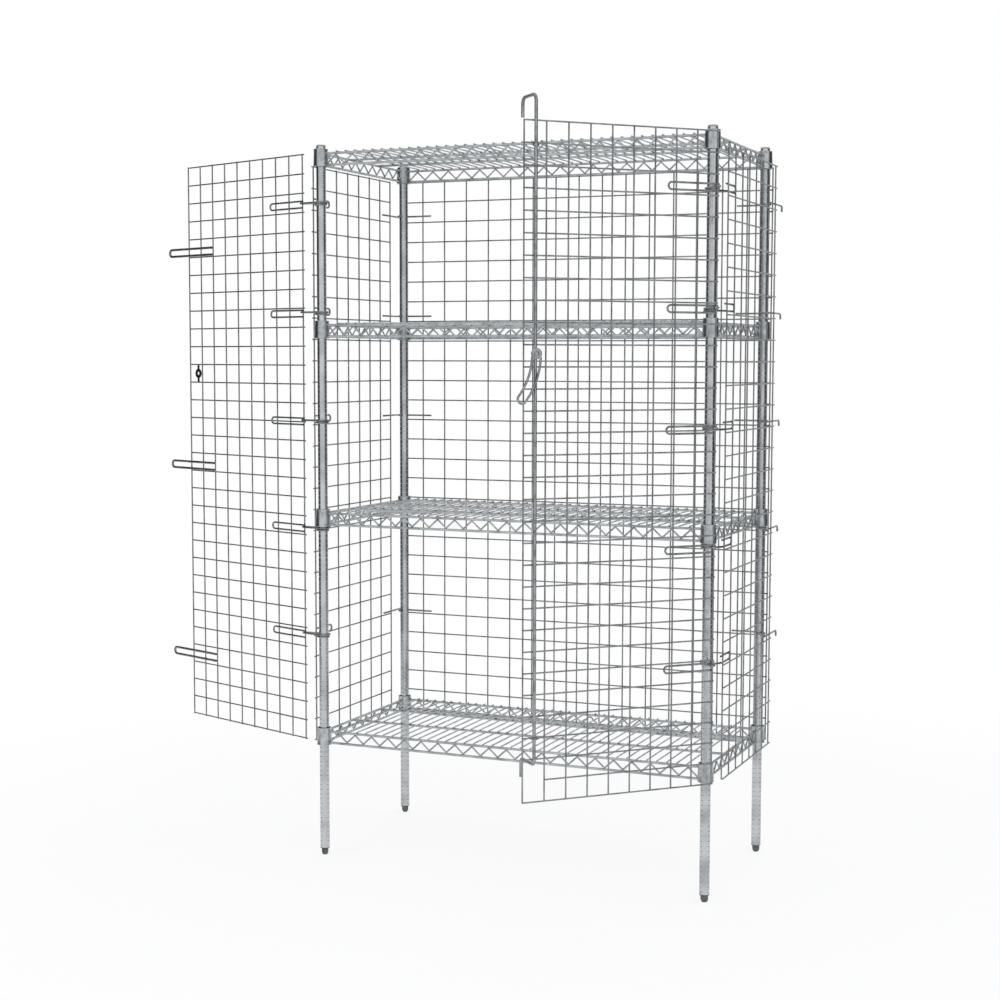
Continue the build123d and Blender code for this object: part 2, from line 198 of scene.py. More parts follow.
mesh_plate = plated("zinc_plated_drawn_wire", "#979a9c", "#6e7173", 0.34, 30, 1.2, 0.05)
shelf_plate = plated("bright_chrome_shelf_wire", "#b8bdc0", "#8d9295", 0.24, 35, 1.5, 0.04)
tube_plate = plated("chrome_plated_post_tube", "#c5c8ca", "#a4a8ab", 0.22, 60, 1.6, 0.03)
collar_plate = plated("chrome_plated_collar", "#bfc3c5", "#979c9f", 0.28, 18, 1.0, 0.05)
lock_plate = plated("zinc_plated_lock_bar", "#a3a7a9", "#777b7d", 0.32, 22, 1.0, 0.05)
foot_plate = plated("blackened_zinc_foot", "#6d7172", "#4f5354", 0.45, 9, 0.8, 0.08)
eye_plate = plated("blackened_padlock_eye", "#5a5e60", "#3d4042", 0.4, 6, 0.8, 0.06)
print("plated finishes:", mesh_plate.name, shelf_plate.name, tube_plate.name)

# %% [markdown]
# The caps and the sleeves inside the collars are moulded nylon: not metal, an IOR
# of about 1.5, a satin skin with the fine grain of the spark-eroded mould.

# %% Moulded nylon
nylon_ior = 1.53
rubbed_patch = 12 * mm
grain_depth = 0.03 * mm


def moulded(name, colour, worn, roughness, grain_mm):
    """A moulded plastic with mould grain and slightly paler rubbed places."""
    material, tree, shader, place = new_material(name)
    shader.inputs["IOR"].default_value = nylon_ior
    wear = add_node(
        tree, "ShaderNodeTexNoise", {"Vector": place, "Scale": 1 / rubbed_patch, "Detail": 5.0}
    )
    mixed = add_node(
        tree, "ShaderNodeMix", {0: wear, 6: linear(colour), 7: linear(worn)}, data_type="RGBA"
    )
    grain = add_node(
        tree, "ShaderNodeTexVoronoi", {"Vector": place, "Scale": 1 / (grain_mm * mm)}
    )
    rough = add_node(
        tree, "ShaderNodeMapRange",
        {"Value": grain, "To Min": roughness * 0.85, "To Max": roughness * 1.2},
    )
    bump = add_node(
        tree, "ShaderNodeBump", {"Height": grain, "Distance": grain_depth, "Strength": 0.4}
    )
    tree.links.new(mixed.outputs[2], shader.inputs["Base Color"])
    tree.links.new(rough.outputs[0], shader.inputs["Roughness"])
    tree.links.new(bump.outputs[0], shader.inputs["Normal"])
    return material


cap_nylon = moulded("grey_nylon_cap", "#8d9194", "#9fa3a6", 0.42, 0.6)
sleeve_nylon = moulded("black_nylon_sleeve", "#17181a", "#2a2b2d", 0.5, 0.7)
print("nylon:", cap_nylon.name, sleeve_nylon.name)

# %% [markdown]
# Geometry Nodes make what repeats. A small builder declares a tree's named inputs,
# and a second one runs a tree on an object: it sets the inputs by the sockets'
# identifiers, turns the result into a plain mesh and takes the modifier off again.

# %% Building and running a tree
def in_scene(name, data):
    """A new object for a mesh, curve, lamp or camera, in the scene."""
    made = bpy.data.objects.new(name, data)
    bpy.context.scene.collection.objects.link(made)
    return made


def new_tree(name, sockets):
    """An empty tree with a geometry input and named inputs, and the inputs' sockets."""
    tree = bpy.data.node_groups.new(name, "GeometryNodeTree")
    kinds = {"Geometry": "Geometry", **sockets}
    for label, kind in kinds.items():
        tree.interface.new_socket(label, in_out="INPUT", socket_type=f"NodeSocket{kind}")
    tree.interface.new_socket("Geometry", in_out="OUTPUT", socket_type="NodeSocketGeometry")
    return tree, tree.nodes.new("NodeGroupInput").outputs


def end_tree(tree, shape, material):
    """Realize what was instanced, give it its material and send it out."""
    real = add_node(tree, "GeometryNodeRealizeInstances", {"Geometry": shape})
    done = add_node(
        tree, "GeometryNodeSetMaterial", {"Geometry": real, "Material": material}
    )
    add_node(tree, "NodeGroupOutput", {0: done})
    print("tree:", tree.name)


def run_tree(tree, data, **values):
    """A plain mesh from a tree run on a mesh or curve. Values go by input name."""
    source = in_scene("source", data)
    modifier = source.modifiers.new("tree", "NODES")
    modifier.node_group = tree
    for item in tree.interface.items_tree:
        key = item.name.replace(" ", "_").lower()
        if item.in_out == "INPUT" and key in values:
            modifier[item.identifier] = values[key]
    graph = bpy.context.evaluated_depsgraph_get()
    mesh = bpy.data.meshes.new_from_object(source.evaluated_get(graph))
    source.modifiers.remove(modifier)
    bpy.data.objects.remove(source)
    return mesh


blank = bpy.data.meshes.new("blank")
print("trees can be built")

# %% [markdown]
# A finished piece joins its meshes under one material, rides on a body and hides
# the construction nodes that it stands for. Its place stays in its mesh and its
# object at the origin. Cut ends stay crisp, because edges sharper than 40 degrees
# stay sharp.

# %% Finishing a piece
import bmesh

crisp_angle = radians(40)
body_of_node = {}
for body, nodes in frame["record"]["behaviour"]["bodies"].items():
    body_of_node.update(dict.fromkeys(nodes, body))
triangles = {}


def new_mesh(name, body):
    """A mesh from a bmesh, which is freed."""
    mesh = bpy.data.meshes.new(name)
    body.to_mesh(mesh)
    body.free()
    return mesh


def finish(name, meshes, nodes, place=None):
    """Join meshes into one piece that rides with, and stands for, the named nodes."""
    joined = bmesh.new()
    for mesh in meshes:
        joined.from_mesh(mesh)
    whole = new_mesh(name, joined)
    whole.materials.append(next(material for material in meshes[0].materials if material))
    whole.polygons.foreach_set("material_index", [0] * len(whole.polygons))
    if place:
        whole.transform(place)
    whole.shade_smooth()
    whole.set_sharp_from_angle(angle=crisp_angle)
    piece = in_scene(name, whole)
    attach(piece, body_of_node[nodes[0]])
    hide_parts(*nodes)
    triangles[name] = sum(len(face.vertices) - 2 for face in whole.polygons)
    return piece


# %% [markdown]
# Parallel wires are the cage's commonest form. One straight wire is made, with
# closed ends, and copied in equal steps. Twelve sides are enough to look round at
# 3 or 4 mm, and keep the count low where there are hundreds. The construction's
# wire has a square section, and round wire of the same area is 1.13 times as wide.
# Hooks, tails and rings stay at their own width, since they pass close together.

# %% Tree: parallel wires
wire_sides = 12
same_area = sqrt(4 / pi)


def swept_wire(tree, path, width, sides):
    """Round wire of the given width, swept along a path, with closed ends."""
    radius = add_node(tree, "ShaderNodeMath", {0: width, 1: 0.5}, operation="MULTIPLY")
    circle = add_node(
        tree, "GeometryNodeCurvePrimitiveCircle", {"Resolution": sides, "Radius": radius}
    )
    return add_node(
        tree, "GeometryNodeCurveToMesh",
        {"Curve": path, "Profile Curve": circle, "Fill Caps": True},
    )


parallel_wires, given = new_tree("parallel wires", {
    "Start": "Vector", "End": "Vector", "Step": "Vector", "Count": "Int", "Wire": "Float",
    "Material": "Material",
})
one_line = add_node(
    parallel_wires, "GeometryNodeCurvePrimitiveLine",
    {"Start": given["Start"], "End": given["End"]},
)
one_wire = swept_wire(parallel_wires, one_line, given["Wire"], wire_sides)
places = add_node(
    parallel_wires, "GeometryNodeMeshLine", {"Count": given["Count"], "Offset": given["Step"]}
)
copies = add_node(
    parallel_wires, "GeometryNodeInstanceOnPoints", {"Points": places, "Instance": one_wire}
)
end_tree(parallel_wires, copies, given["Material"])

# %% [markdown]
# Where two wires cross they were pressed together hot, and a little metal ran into
# the corner between them. Each weld is a small flattened ball of 80 faces, and a
# grid of them comes from two counted steps.

# %% Tree: weld spots on a grid
weld_spots, given = new_tree("weld spots", {
    "First": "Vector", "Across": "Vector", "Across Count": "Int", "Along": "Vector",
    "Along Count": "Int", "Size": "Vector", "Material": "Material",
})
ball = add_node(weld_spots, "GeometryNodeMeshIcoSphere", {"Radius": 0.5, "Subdivisions": 2})
row = add_node(
    weld_spots, "GeometryNodeMeshLine",
    {"Count": given["Across Count"], "Offset": given["Across"]},
)
row_copy = add_node(
    weld_spots, "GeometryNodeInstanceOnPoints",
    {"Points": row, "Instance": ball, "Scale": given["Size"]},
)
column = add_node(
    weld_spots, "GeometryNodeMeshLine",
    {"Count": given["Along Count"], "Start Location": given["First"], "Offset": given["Along"]},
)
grid = add_node(
    weld_spots, "GeometryNodeInstanceOnPoints", {"Points": column, "Instance": row_copy}
)
end_tree(weld_spots, grid, given["Material"])

# %% [markdown]
# Bent wires start as a path of straight runs. The tree rounds its corners as a
# bending pin does, sweeps a circle along it and stacks copies at equal heights,
# because hooks and rings repeat at five levels.

# %% Tree: bent wire, stacked at levels
bent_sides = 16
bend_count = 6

bent_wire, given = new_tree("bent wire", {
    "Wire": "Float", "Bend": "Float", "Levels": "Int", "Rise": "Float", "Material": "Material",
})
rounded = add_node(
    bent_wire, "GeometryNodeFilletCurve",
    {"Curve": given["Geometry"], "Count": bend_count, "Radius": given["Bend"],
     "Limit Radius": True},
    mode="POLY",
)
swept = swept_wire(bent_wire, rounded, given["Wire"], bent_sides)
upward = add_node(bent_wire, "ShaderNodeCombineXYZ", {"Z": given["Rise"]})
levels = add_node(
    bent_wire, "GeometryNodeMeshLine", {"Count": given["Levels"], "Offset": upward}
)
stack = add_node(
    bent_wire, "GeometryNodeInstanceOnPoints", {"Points": levels, "Instance": swept}
)
end_tree(bent_wire, stack, given["Material"])


def paths(*routes, closed=False):
    """A curve with one straight-sided spline for each route of points."""
    curve = bpy.data.curves.new("route", "CURVE")
    curve.dimensions = "3D"
    for route in routes:
        spline = curve.splines.new("POLY")
        spline.points.add(len(route) - 1)
        for point, place in zip(spline.points, route):
            point.co = (*place, 1.0)
        spline.use_cyclic_u = closed
    return curve


def bent(routes, wire, bend, material, levels=1, rise=0.0, closed=False):
    """A mesh of bent wire along the routes, stacked at equal levels."""
    return run_tree(
        bent_wire, paths(*routes, closed=closed),
        wire=wire, bend=bend, levels=levels, rise=rise, material=material,
    )


def arc(centre, radius, start, end, steps):
    """Points on an arc, as pairs; angles in degrees."""
    angles = [radians(start + (end - start) * step / steps) for step in range(steps + 1)]
    return [(centre[0] + radius * cos(angle), centre[1] + radius * sin(angle)) for angle in angles]


print("a quarter turn in three steps:", [round(y, 2) for x, y in arc((0, 0), 1, 0, 90, 3)])

# %% [markdown]
# Turned and pressed round parts, such as collars and caps, are a profile spun round
# an axis. The tree copies one of them to the four posts. The helper closes the
# profile into a ring, so that a tube has an inside as well as an outside.

# %% Tree: one part at each post, and the spun part itself
same_place = 1e-7

corner_copies, given = new_tree(
    "copies at the posts", {"Span X": "Float", "Span Y": "Float", "Material": "Material"}
)
post_grid = add_node(
    corner_copies, "GeometryNodeMeshGrid",
    {"Size X": given["Span X"], "Size Y": given["Span Y"], "Vertices X": 2, "Vertices Y": 2},
)
copies = add_node(
    corner_copies, "GeometryNodeInstanceOnPoints",
    {"Points": post_grid, "Instance": given["Geometry"]},
)
end_tree(corner_copies, copies, given["Material"])


def turned_rows(body, profile, angles):
    """The points of a (radius, z) profile at each angle about Z."""
    rows = []
    for angle in angles:
        rows.append([body.verts.new((r * cos(angle), r * sin(angle), z)) for r, z in profile])
    return rows


def spun(profile, sides=32, start=0.0, sweep=2 * pi):
    """A solid from a closed profile of (radius, z) pairs spun about Z.
    Under a whole turn, its ends are closed."""
    whole = abs(sweep - 2 * pi) < 1e-6
    steps = sides if whole else sides + 1
    body = bmesh.new()
    rows = turned_rows(body, profile, [start + sweep * step / sides for step in range(steps)])
    for one, two in zip(rows, rows[1:] + rows[:1] if whole else rows[1:]):
        for i in range(len(profile)):
            j = (i + 1) % len(profile)
            body.faces.new((one[i], two[i], two[j], one[j]))
    if not whole:
        body.faces.new(rows[0])
        body.faces.new(rows[-1])
    bmesh.ops.remove_doubles(body, verts=body.verts, dist=same_place)
    bmesh.ops.dissolve_degenerate(body, edges=body.edges, dist=same_place)
    bmesh.ops.recalc_face_normals(body, faces=body.faces)
    return new_mesh("spun", body)


def at_posts(mesh, material):
    """A mesh copied to the four post axes."""
    return run_tree(corner_copies, mesh, span_x=2 * half_x, span_y=2 * half_y, material=material)


print("round parts can be spun")

# %% [markdown]
# The posts are 1-inch steel tube with a shallow groove rolled in every half inch,
# so that a shelf can be set at any height. One half inch of tube is spun with its
# groove, and the tree stacks it, merges the joints and leaves one clean skin. A
# short ring finishes each end, and shows the thickness of the wall.

# %% Tree: grooved tube
grooved_tube, given = new_tree(
    "grooved tube", {"Pitch": "Float", "Count": "Int", "Foot": "Vector", "Material": "Material"}
)
upward = add_node(grooved_tube, "ShaderNodeCombineXYZ", {"Z": given["Pitch"]})
grooves = add_node(
    grooved_tube, "GeometryNodeMeshLine",
    {"Count": given["Count"], "Start Location": given["Foot"], "Offset": upward},
)
stack = add_node(
    grooved_tube, "GeometryNodeInstanceOnPoints",
    {"Points": grooves, "Instance": given["Geometry"]},
)
real = add_node(grooved_tube, "GeometryNodeRealizeInstances", {"Geometry": stack})
merged = add_node(
    grooved_tube, "GeometryNodeMergeByDistance", {"Geometry": real, "Distance": 0.02 * mm}
)
end_tree(grooved_tube, merged, given["Material"])

tube_radius = 12.7 * mm
tube_wall = 1.4 * mm
tube_sides = 28
end_depth = 10 * mm
groove_pitch = 12.7 * mm
groove_depth = 0.35 * mm
groove_half = 0.9 * mm
groove_rim = 0.35 * mm
tube_low, tube_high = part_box("post_front_left")[0][2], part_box("post_front_left")[1][2]
groove_count = int((tube_high - tube_low) / groove_pitch)
plain_end = tube_high - tube_low - groove_count * groove_pitch


def open_skin(profile, sides):
    """An open skin from (radius, z) pairs spun about Z."""
    skin = bmesh.new()
    rows = turned_rows(skin, profile, [2 * pi * step / sides for step in range(sides)])
    for one, two in zip(rows, rows[1:] + rows[:1]):
        for i in range(len(profile) - 1):
            skin.faces.new((one[i], two[i], two[i + 1], one[i + 1]))
    return new_mesh("skin", skin)


one_groove = [
    (tube_radius, 0.0),
    (tube_radius, groove_pitch / 2 - groove_half - groove_rim),
    (tube_radius, groove_pitch / 2 - groove_half),
    (tube_radius - groove_depth, groove_pitch / 2),
    (tube_radius, groove_pitch / 2 + groove_half),
    (tube_radius, groove_pitch / 2 + groove_half + groove_rim),
    (tube_radius, groove_pitch),
]
end_ring = [
    (tube_radius, 0.0),
    (tube_radius, plain_end),
    (tube_radius - tube_wall, plain_end),
    (tube_radius - tube_wall, plain_end - end_depth),
]
foot_ring = [
    (tube_radius - tube_wall, end_depth),
    (tube_radius - tube_wall, 0.0),
    (tube_radius, 0.0),
]
for corner in post_corners:
    axis = middle(f"post_{corner}")
    tube = [run_tree(
        grooved_tube, open_skin(one_groove, tube_sides), pitch=groove_pitch,
        count=groove_count, foot=(axis.x, axis.y, tube_low), material=tube_plate,
    )]
    for ring, z in ((end_ring, tube_high - plain_end), (foot_ring, tube_low)):
        end = open_skin(ring, tube_sides)
        end.transform(Matrix.Translation((axis.x, axis.y, z)))
        tube.append(end)
    finish(f"{corner}_post", tube, [f"post_{corner}"])
print(groove_count, "grooves on each post;", triangles["front_left_post"], "triangles")

# %% [markdown]
# Under each post a bush is pressed into the tube, and a levelling foot screws into
# it: a hexagon to turn it by, a taper that ends on the floor, and a threaded stud.
# The hexagon is spun with six sides, and its thread is a stack of small rings,
# which the eye can't tell from a helix at this size.

# %% Bushes, feet and caps
foot_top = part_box("foot_front_left")[1][2]
bush_flange = 2.5 * mm
stud_radius = 4.75 * mm
stud_sides = 20
thread_depth = 0.5 * mm
thread_pitch = 1.25 * mm
hexagon_flats = 17.5 * mm
hexagon_sides = 6
tip_radius = 6.5 * mm
taper = 7.0 * mm
neck_gap, fit_gap = 0.2 * mm, 0.15 * mm
neck = tube_low - bush_flange - neck_gap
edge = 0.7 * mm
hexagon_radius = hexagon_flats / 2 / cos(pi / hexagon_sides)
tip_corner = tip_radius / cos(pi / hexagon_sides)
foot_profile = [
    (0, 0), (tip_corner - edge, 0), (tip_corner, edge), (hexagon_radius, taper),
    (hexagon_radius, neck - edge), (hexagon_radius - edge, neck), (0, neck),
]
stud_profile = [(0, neck)]
z = neck
while z < foot_top - thread_pitch:
    stud_profile += [(stud_radius - thread_depth, z), (stud_radius, z + thread_pitch / 2)]
    z += thread_pitch
stud_profile += [(stud_radius - thread_depth, foot_top), (0, foot_top)]
for corner in post_corners:
    axis = middle(f"foot_{corner}")
    foot_meshes = [spun(foot_profile, hexagon_sides), spun(stud_profile, stud_sides)]
    for mesh in foot_meshes:
        mesh.transform(Matrix.Translation((axis.x, axis.y, 0)))
        mesh.materials.append(foot_plate)
    finish(f"{corner}_foot", foot_meshes, [f"foot_{corner}"])

bush_bore = stud_radius + fit_gap
inner_radius = tube_radius - tube_wall - fit_gap
bush_low, bush_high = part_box("foot_inserts")[0][2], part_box("foot_inserts")[1][2]
bush_profile = [
    (bush_bore, bush_low), (tube_radius - edge, bush_low), (tube_radius, bush_low + edge),
    (tube_radius, tube_low), (inner_radius, tube_low), (inner_radius, bush_high),
    (bush_bore, bush_high),
]
finish("foot_bushes", [at_posts(spun(bush_profile), foot_plate)], ["foot_inserts"])

cap_low, cap_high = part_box("post_caps")[0][2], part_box("post_caps")[1][2]
crown = 2.5 * mm
crown_steps = 6
crown_arc = arc((0, cap_high - crown), crown, 0, 90, crown_steps)
cap_profile = [
    (0, cap_low), (inner_radius, cap_low), (inner_radius, tube_high), (tube_radius, tube_high),
    *[(tube_radius - crown + r, z) for r, z in crown_arc], (0, cap_high),
]
finish("post_caps_crowned", [at_posts(spun(cap_profile), cap_nylon)], ["post_caps"])
print("triangles of a foot:", triangles["front_left_foot"])
print("of the bushes and caps:", triangles["foot_bushes"], triangles["post_caps_crowned"])

# %% [markdown]
# At each corner of a shelf a pressed steel collar tapers towards its top. It is
# driven down over a split plastic sleeve that has a rib in one of the grooves, and
# the shelf's own weight keeps the wedge tight. The sleeve's two halves are spun
# through a little under half a turn each.

# %% Collars and split sleeves
collar_foot_radius = 20.0 * mm
collar_head_radius = 18.6 * mm
collar_wall = 2.2 * mm
collar_height = 46.0 * mm
collar_sides = 36
lip = 0.9 * mm
lip_out, lip_fade, lip_turn = lip * 0.4, 2.6 * lip, 0.4 * mm
shoulder = 0.1 * mm
sleeve_height = 40.0 * mm
sleeve_gap = 0.2 * mm
sleeve_sides = 20
slit = radians(5)
collar_profile = [
    (collar_foot_radius - collar_wall, 0), (collar_foot_radius - lip_turn, 0),
    (collar_foot_radius + lip_out, lip), (collar_foot_radius, lip_fade),
    (collar_head_radius + shoulder, collar_height - lip_fade),
    (collar_head_radius + lip_out, collar_height - lip),
    (collar_head_radius - lip_turn, collar_height),
    (collar_head_radius - collar_wall, collar_height),
]
slope = (collar_head_radius - collar_foot_radius) / collar_height
sleeve_foot_radius = collar_foot_radius - collar_wall - sleeve_gap
sleeve_profile = [
    (tube_radius + sleeve_gap, sleeve_gap), (sleeve_foot_radius, sleeve_gap),
    (sleeve_foot_radius + slope * sleeve_height, sleeve_height),
    (tube_radius + sleeve_gap, sleeve_height),
]
for name, height in shelf_foot.items():
    collar = spun(collar_profile, collar_sides)
    halves = [
        spun(sleeve_profile, sleeve_sides, start + slit, pi - 2 * slit) for start in (0, pi)
    ]
    for mesh in (collar, *halves):
        mesh.transform(Matrix.Translation((0, 0, height)))
    sleeves = [at_posts(half, sleeve_nylon) for half in halves]
    finish(f"{name}_shelf_collars", [at_posts(collar, collar_plate)], [f"shelf_{name}_collars"])
    finish(f"{name}_shelf_sleeves", sleeves, [f"shelf_{name}_sleeves"])
print("collars:", triangles["top_shelf_collars"], "triangles a shelf")

# %% [markdown]
# A shelf's edge is two stout wires, one above the other, with a zigzag wire between
# them, like the chord and web of a small truss. It carries the load to the collars.
# Two more wires of the same gauge run under the deck. Each wire is one straight
# run, so all ten go through the bent wire tree together, with no bend in them.

# %% Shelf edge wires
rim = 6.0 * mm
rim_low = 5.0 * mm
rim_rise = 29.5 * mm
rim_sink = 0.5 * mm
runners = 2


def collar_radius(rise):
    """The collar's radius at a height above its foot."""
    return collar_foot_radius + (collar_head_radius - collar_foot_radius) * rise / collar_height


def edge_runs(height):
    """The straight runs of a shelf's edge: four low, four high and the runners."""
    runs = []
    for rise in (rim_low, rim_low + rim_rise):
        start, z = collar_radius(rise) - rim_sink, height + rise
        for side in (-1, 1):
            x, y = side * half_x, side * half_y
            runs.append([(start - half_x, y, z), (half_x - start, y, z)])
            runs.append([(x, start - half_y, z), (x, half_y - start, z)])
    for runner in range(runners):
        y = 2 * half_y * ((runner + 1) / (runners + 1) - 0.5)
        runs.append([(-half_x, y, z), (half_x, y, z)])
    return runs


for name, height in shelf_foot.items():
    wires = bent(edge_runs(height), rim * same_area, 0.0, shelf_plate)
    finish(f"{name}_shelf_edges", [wires], [f"shelf_{name}_edges"])
print("edge wires:", triangles["top_shelf_edges"], "triangles a shelf")

# %% [markdown]
# The zigzag is one wire bent to and fro. Its tree draws a straight line, sets every
# second point high and the others low, rounds the bends and sweeps the wire. It
# touches both edge wires, where it is welded.

# %% Zigzag wires
zigzag_wire = 4.0 * mm
zigzag_period = 48.0 * mm
zigzag_bend = 4.0 * mm
zigzag_bend_count = 4
zigzag_sides = 10
zigzag_room = rim_rise - rim - zigzag_wire

zigzag, given = new_tree("zigzag wire", {
    "Start": "Vector", "End": "Vector", "Points": "Int", "Swing": "Float", "Wire": "Float",
    "Bend": "Float", "Material": "Material",
})
straight = add_node(
    zigzag, "GeometryNodeCurvePrimitiveLine", {"Start": given["Start"], "End": given["End"]}
)
beaded = add_node(
    zigzag, "GeometryNodeResampleCurve", {"Curve": straight, "Count": given["Points"]}
)
number = add_node(zigzag, "GeometryNodeInputIndex")
odd = add_node(zigzag, "ShaderNodeMath", {0: number, 1: 2.0}, operation="MODULO")
signed = add_node(
    zigzag, "ShaderNodeMath", {0: odd, 1: 2.0, 2: -1.0}, operation="MULTIPLY_ADD"
)
height_now = add_node(
    zigzag, "ShaderNodeMath", {0: signed, 1: given["Swing"]}, operation="MULTIPLY"
)
shift = add_node(zigzag, "ShaderNodeCombineXYZ", {"Z": height_now})
waved = add_node(zigzag, "GeometryNodeSetPosition", {"Geometry": beaded, "Offset": shift})
rounded = add_node(
    zigzag, "GeometryNodeFilletCurve",
    {"Curve": waved, "Count": zigzag_bend_count, "Radius": given["Bend"], "Limit Radius": True},
    mode="POLY",
)
swept = swept_wire(zigzag, rounded, given["Wire"], zigzag_sides)
end_tree(zigzag, swept, given["Material"])


def zigzag_run(start, end):
    """A zigzag between two collars, its wire touching the edge wires at every bend."""
    length = (Vector(end) - Vector(start)).length
    periods = round(length / zigzag_period)
    angle = atan2(zigzag_room, length / periods / 2)
    dip = zigzag_bend * (1 / cos(angle) - 1)
    return run_tree(
        zigzag, blank, start=start, end=end, points=2 * periods + 1,
        swing=zigzag_room / 2 + dip, wire=zigzag_wire * same_area, bend=zigzag_bend,
        material=shelf_plate,
    )


for name, height in shelf_foot.items():
    z = height + rim_low + rim_rise / 2
    start = collar_radius(0)
    bands = []
    for side in (-1, 1):
        x, y = side * half_x, side * half_y
        bands.append(zigzag_run((start - half_x, y, z), (half_x - start, y, z)))
        bands.append(zigzag_run((x, start - half_y, z), (x, half_y - start, z)))
    finish(f"{name}_shelf_zigzags", bands, [f"shelf_{name}_trusses"])
print("zigzag:", triangles["top_shelf_zigzags"], "triangles a shelf")

# %% [markdown]
# The deck is thin wire about an inch apart, laid from front to back over the edge
# wires and the runners, with a weld at each crossing. It shows as fine parallel
# lines from above and as a row of bright ends at the front.

# %% Deck wires
deck_wire = 3.6 * mm
deck_count = 38
deck_margin = 46.5 * mm
deck_weld = Vector((3.4, 4.6, 2.2)) * mm
deck_step = (2 * half_x - 2 * deck_margin) / (deck_count - 1)
for name, height in shelf_foot.items():
    high = height + rim_low + rim_rise
    z = high + rim / 2 + deck_wire / 2
    first_x, reach = deck_margin - half_x, half_y + rim / 2
    wires = run_tree(
        parallel_wires, blank, start=(first_x, -reach, z), end=(first_x, reach, z),
        step=(deck_step, 0, 0), count=deck_count, wire=deck_wire * same_area,
        material=shelf_plate,
    )
    welds = run_tree(
        weld_spots, blank, first=(first_x, -half_y, high + rim / 2),
        across=(deck_step, 0, 0), across_count=deck_count,
        along=(0, 2 * half_y / (runners + 1), 0), along_count=runners + 2,
        size=deck_weld, material=shelf_plate,
    )
    finish(f"{name}_shelf_deck", [wires, welds], [f"shelf_{name}_deck"])
print("deck:", triangles["top_shelf_deck"], "triangles a shelf")
print("its wires lie", round(deck_step / mm, 1), "mm apart")

# %% [markdown]
# The mesh is welded wire: uprights in one plane and level rows laid on one side of
# them. Three calls of the two counted trees give a whole panel, drawn flat from
# its first upright. On the right door one row stops a cell short, so that the
# rod's lower hook can pass.

# %% One mesh panel, drawn flat
mesh_wire = 3.4 * mm
mesh_weld = Vector((4.3, 2.4, 4.3)) * mm


def mesh_panel(columns, width, rows, foot, head, row_side, short_row=None):
    """Uprights along X from x = 0, rows on one side of them and their welds."""
    half, y = mesh_wire / 2, row_side * mesh_wire
    pitch, row_pitch = width / columns, (head - foot) / rows
    uprights = run_tree(
        parallel_wires, blank, start=(0, 0, foot - half), end=(0, 0, head + half),
        step=(pitch, 0, 0), count=columns + 1, wire=mesh_wire * same_area, material=mesh_plate,
    )
    parts = [uprights]
    bands = [(0, rows + 1, columns)]
    if short_row is not None:
        bands = [
            (0, short_row, columns), (short_row, 1, columns - 1),
            (short_row + 1, rows - short_row, columns),
        ]
    for first, count, last in bands:
        z = foot + first * row_pitch
        parts.append(run_tree(
            parallel_wires, blank, start=(-half, y, z), end=(last * pitch + half, y, z),
            step=(0, 0, row_pitch), count=count, wire=mesh_wire * same_area,
            material=mesh_plate,
        ))
        parts.append(run_tree(
            weld_spots, blank, first=(0, y / 2, z), across=(pitch, 0, 0), across_count=last + 1,
            along=(0, 0, row_pitch), along_count=count, size=mesh_weld, material=mesh_plate,
        ))
    return parts


def foot_and_head(node):
    """The heights of a panel's lowest and highest row."""
    low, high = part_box(node)
    return low[2] + mesh_wire / 2, high[2] - mesh_wire / 2


print("a panel's foot and head:", [round(z / mm, 1) for z in foot_and_head("back_panel")])

# %% [markdown]
# The side panels stand just outside the posts, the back panel just behind them.
# Their rows are on the outer side. Their size and place are read from the boxes of
# the construction's own panels.

# %% Side panels and back panel
side_columns, side_rows = 7, 27
back_columns, back_rows = 16, 27
for side, name in ((-1, "left"), (1, "right")):
    low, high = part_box(f"side_panel_{name}")
    inner_face = high[0] if side < 0 else low[0]
    plane_x = inner_face + side * mesh_wire / 2
    foot, head = foot_and_head(f"side_panel_{name}")
    start_y = low[1] + mesh_wire / 2
    width = high[1] - mesh_wire / 2 - start_y
    panel = mesh_panel(side_columns, width, side_rows, foot, head, -side)
    turn = stand(Vector((plane_x, start_y, 0)), pi / 2)
    finish(f"{name}_side_mesh", panel, [f"side_panel_{name}"], turn)

low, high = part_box("back_panel")
foot, head = foot_and_head("back_panel")
start_x = low[0] + mesh_wire / 2
width = high[0] - mesh_wire / 2 - start_x
panel = mesh_panel(back_columns, width, back_rows, foot, head, 1)
turn = stand(Vector((start_x, low[1] + mesh_wire / 2, 0)), 0)
finish("back_mesh", panel, ["back_panel"], turn)
print("side and back mesh:", triangles["left_side_mesh"], triangles["back_mesh"], "triangles")

# %% [markdown]
# Both doors are the same mesh, with closer cells, and differ only in the side that
# faces out. They are drawn flat from the hinge edge and turned into place.

# %% Door mesh
door_columns, door_rows = 9, 31
door_width = 495.0 * mm
foot_hook_cell = 2
door_foot, door_head = foot_and_head("door_left_mesh")
door_row = (door_head - door_foot) / door_rows
door_grid = (door_columns, door_width, door_rows, door_foot, door_head)
finish("left_door_mesh", mesh_panel(*door_grid, -1), ["door_left_mesh"], left_door)
right_mesh = mesh_panel(*door_grid, 1, short_row=foot_hook_cell - 1)
finish("right_door_mesh", right_mesh, ["door_right_mesh"], right_door)
print("door cells:", round(door_width / door_columns / mm, 1), "by", round(door_row / mm, 1), "mm")

# %% [markdown]
# Everything that holds the panels and doors is 5 mm wire bent cold: hooks round the
# front posts that end in a flat loop on the side panels, tails that pass the rear
# posts and turn down, hooks round the rear posts, and on each door five hairpins.
# All of them repeat at the same five heights, so each shape is drawn once.

